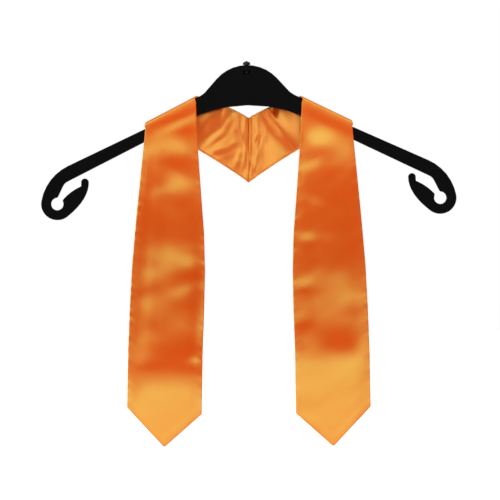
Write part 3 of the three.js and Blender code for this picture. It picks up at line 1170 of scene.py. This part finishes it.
SHELL_SATIN = SatinFinish(
    name="satin",
    light=(0.93, 0.073, 0.002),
    deep=(0.89, 0.063, 0.0015),
    sheen=(0.52, 1.0, 0.205),
)
# The lining's base colours are darker than the shell's. That darkening is painted shade for the back
# neckpiece, where the lining shows and the fronts and the hanger shade it.
LINING_SATIN_WITH_PAINTED_SHADE = SatinFinish(
    name="lining_satin",
    light=(0.83, 0.064, 0.003),
    deep=(0.79, 0.056, 0.002),
    sheen=(1.0, 0.88, 0.19),
    ior=2.15,
)


@dataclass(frozen=True)
class MouldedPlastic:
    """Black moulded plastic with a fine pebble and a parting line round its rim."""

    name: str = "moulded_black"
    clean: Triple = (0.0008, 0.0008, 0.0009)
    dusty: Triple = (0.0018, 0.0017, 0.0016)
    dust_scale: Triple = (24, 60, 24)
    roughness: Span = (0.40, 0.54)
    wear_scale: Triple = (60, 60, 60)
    specular: float = 0.06
    pebble_scale: Triple = (1500, 1500, 1500)
    pebble_strength: float = 0.3
    pebble_height: float = 0.03 * MM
    parting_width: float = 0.5 * MM
    parting_height: float = 0.15 * MM

    def make(self) -> bpy.types.Material:
        """Builds the material.

        Returns:
            The plastic, for a moulding that is parted along Y = 0.
        """
        board = NodeBoard(self.name)
        dust = board.ranged(board.noise("Object", self.dust_scale, detail=5.0), 0.0, 1.0)
        board.colour(self.clean, self.dusty, dust)
        wear = board.ranged(board.noise("Object", self.wear_scale, detail=4.0), *self.roughness)
        board.link(wear, "Result", board.shader, "Roughness")
        pebble = board.noise("Object", self.pebble_scale, detail=2.0)
        grain = board.relief(pebble, self.pebble_strength, self.pebble_height)
        flash = board.relief(self._parting(board), 1.0, self.parting_height)
        board.link(grain, "Normal", flash, "Normal")
        board.link(flash, "Normal", board.shader, "Normal")
        board.set(Specular_IOR_Level=self.specular)
        return board.material

    def _parting(self, board: NodeBoard) -> bpy.types.Node:
        """Adds the parting line's profile.

        Args:
            board: the material's board.

        Returns:
            The node that is 1 at the moulding's mid-plane and 0 away from it.
        """
        place = board.add("ShaderNodeTexCoord")
        axes = board.add("ShaderNodeSeparateXYZ")
        board.link(place, "Object", axes, "Vector")
        depth = board.add("ShaderNodeMath", operation="ABSOLUTE")
        board.link(axes, "Y", depth, 0)
        line = board.add(
            "ShaderNodeMapRange",
            interpolation_type="SMOOTHSTEP",
            From_Max=self.parting_width,
            To_Min=1.0,
            To_Max=0.0,
        )
        board.link(depth, 0, line, "Value")
        return line


@dataclass(frozen=True)
class BlackSteel:
    """The stud's blackened steel, rubbed brighter in places."""

    name: str = "black_steel"
    dark: Triple = (0.006, 0.006, 0.006)
    rubbed: Triple = (0.02, 0.02, 0.021)
    rub_scale: Triple = (300, 300, 300)
    roughness: Span = (0.28, 0.45)
    metal: float = 0.6
    specular: float = 0.4

    def make(self) -> bpy.types.Material:
        """Builds the material.

        Returns:
            The steel.
        """
        board = NodeBoard(self.name)
        worn = board.noise("Object", self.rub_scale, detail=4.0)
        board.link(board.ranged(worn, *self.roughness), "Result", board.shader, "Roughness")
        board.colour(self.dark, self.rubbed, board.ranged(worn, 0.0, 1.0))
        board.set(Metallic=self.metal, Specular_IOR_Level=self.specular)
        return board.material


@dataclass(frozen=True)
class Hanger:
    """The hanger's own nodes, kept as packed and given their finishes.

    Edges sharper than crease_angle, in degrees, stay crisp.
    """

    crease_angle: float = 34.0

    def dress(self) -> None:
        """Gives each node its finish and smooth shading."""
        finishes = {"hanger_body": MouldedPlastic().make(), "hook_stud": BlackSteel().make()}
        for name, finish in finishes.items():
            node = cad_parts[name]
            node.data.materials.clear()
            node.data.materials.append(finish)
            node.data.shade_smooth()
            node.data.set_sharp_from_angle(angle=math.radians(self.crease_angle))
            log.info("%s dressed", name)


@dataclass(frozen=True)
class Studio:
    """Camera, floor and soft light.

    Sky steps are a share of the way from straight down to straight up, and the light from
    there.
    """

    frame_width: float = 0.725
    aim: Span = (5.1 * MM, -274 * MM)
    distance: float = 4.0
    sensor: float = 36.0
    far_clip: float = 60.0
    floor_height: float = -0.63
    floor_x: Span = (-6.0, 6.0)
    floor_y: Span = (-0.45, 8.0)
    floor_grey: float = 0.85
    floor_roughness: float = 0.9
    floor_glow: float = 0.4
    sky_strength: float = 2.6
    sky_tilt: float = -0.16
    sky_steps: tuple[Span, ...] = (
        (0.0, 2.4),
        (0.13, 2.0),
        (0.26, 0.02),
        (0.505, 0.01),
        (0.61, 0.88),
        (0.67, 0.88),
        (0.75, 0.26),
        (1.0, 0.22),
    )
    box_place: Triple = (-0.5, -2.2, 1.5)
    box_size: Span = (2.2, 1.0)
    box_watts: float = 3.0

    def camera(self) -> None:
        """Looks straight at the front, at the photograph's framing."""
        data = bpy.data.cameras.new("camera")
        data.sensor_width = self.sensor
        data.lens = self.sensor * self.distance / self.frame_width
        data.clip_end = self.far_clip
        made = bpy.data.objects.new("camera", data)
        made.location = (self.aim[0], -self.distance, self.aim[1])
        made.rotation_euler = (math.pi / 2, 0, 0)
        bpy.context.scene.collection.objects.link(made)
        bpy.context.scene.camera = made

    def floor(self) -> None:
        """A plain pale floor below the object and behind it, which glows faintly."""
        mesh = bpy.data.meshes.new("floor")
        (left, right), (near, far) = self.floor_x, self.floor_y
        corners = [(left, near), (right, near), (right, far), (left, far)]
        mesh.from_pydata([(x, y, self.floor_height) for x, y in corners], [], [(0, 1, 2, 3)])
        made = bpy.data.objects.new("floor", mesh)
        board = NodeBoard("pale_floor")
        grey = self.floor_grey
        board.set(Base_Color=(grey, grey, grey, 1), Roughness=self.floor_roughness)
        board.set(Emission_Color=(1, 1, 1, 1), Emission_Strength=self.floor_glow)
        mesh.materials.append(board.material)
        bpy.context.scene.collection.objects.link(made)

    def sky(self) -> None:
        """A white surround to look at, and the light that falls on the object.

        The light is bright from below, dark about the horizon, bright again in a band above
        it and dim overhead, and tilts to one side.
        """
        world = bpy.data.worlds.new("studio")
        bpy.context.scene.world = world
        world.use_nodes = True
        tree = world.node_tree
        tree.nodes.clear()
        output = tree.nodes.new("ShaderNodeOutputWorld")
        seen = tree.nodes.new("ShaderNodeBackground")
        seen.inputs["Color"].default_value = (1, 1, 1, 1)
        lit = tree.nodes.new("ShaderNodeBackground")
        lit.inputs["Strength"].default_value = self.sky_strength
        place = tree.nodes.new("ShaderNodeTexCoord")
        axes = tree.nodes.new("ShaderNodeSeparateXYZ")
        tilted = tree.nodes.new("ShaderNodeMath")
        tilted.operation = "MULTIPLY_ADD"
        tilted.inputs[1].default_value = self.sky_tilt
        spread = tree.nodes.new("ShaderNodeMapRange")
        spread.inputs["From Min"].default_value = -1.0
        spread.inputs["From Max"].default_value = 1.0
        ramp = tree.nodes.new("ShaderNodeValToRGB")
        ramp.color_ramp.interpolation = "EASE"
        elements = ramp.color_ramp.elements
        while len(elements) < len(self.sky_steps):
            elements.new(0.5)
        for element, (at, value) in zip(elements, self.sky_steps):
            element.position = at
            element.color = (value, value, value, 1)
        rays = tree.nodes.new("ShaderNodeLightPath")
        mix = tree.nodes.new("ShaderNodeMixShader")
        links = tree.links
        links.new(place.outputs["Generated"], axes.inputs["Vector"])
        links.new(axes.outputs["X"], tilted.inputs[0])
        links.new(axes.outputs["Z"], tilted.inputs[2])
        links.new(tilted.outputs["Value"], spread.inputs["Value"])
        links.new(spread.outputs["Result"], ramp.inputs["Fac"])
        links.new(ramp.outputs["Color"], lit.inputs["Color"])
        links.new(rays.outputs["Is Camera Ray"], mix.inputs["Fac"])
        links.new(lit.outputs["Background"], mix.inputs[1])
        links.new(seen.outputs["Background"], mix.inputs[2])
        links.new(mix.outputs["Shader"], output.inputs["Surface"])

    def lamp(self) -> None:
        """Adds a faint soft box above the front, turned to the stole."""
        data = bpy.data.lights.new("overhead_box", "AREA")
        data.shape = "RECTANGLE"
        data.size, data.size_y = self.box_size
        data.energy = self.box_watts
        made = bpy.data.objects.new("overhead_box", data)
        made.location = self.box_place
        aim = Vector((self.aim[0], 0, self.aim[1]))
        made.rotation_euler = (aim - Vector(self.box_place)).to_track_quat("-Z", "Y").to_euler()
        bpy.context.scene.collection.objects.link(made)

    def build(self) -> None:
        """Sets up the whole studio."""
        view = bpy.context.scene.view_settings
        view.view_transform = "Standard"
        view.look = "None"
        self.camera()
        self.floor()
        self.sky()
        self.lamp()
        log.info("studio set up")


def main() -> None:
    """Builds the studio, the hanger's finishes and the stole."""
    logging.basicConfig(level=logging.INFO, format="%(message)s")
    Studio().build()
    Hanger().dress()
    outer, inner = SHELL_SATIN.make(), LINING_SATIN_WITH_PAINTED_SHADE.make()
    sizes = Stole()
    for side in Side:
        StoleSide(side, sizes).build(outer, inner)


if __name__ == "__main__":
    main()
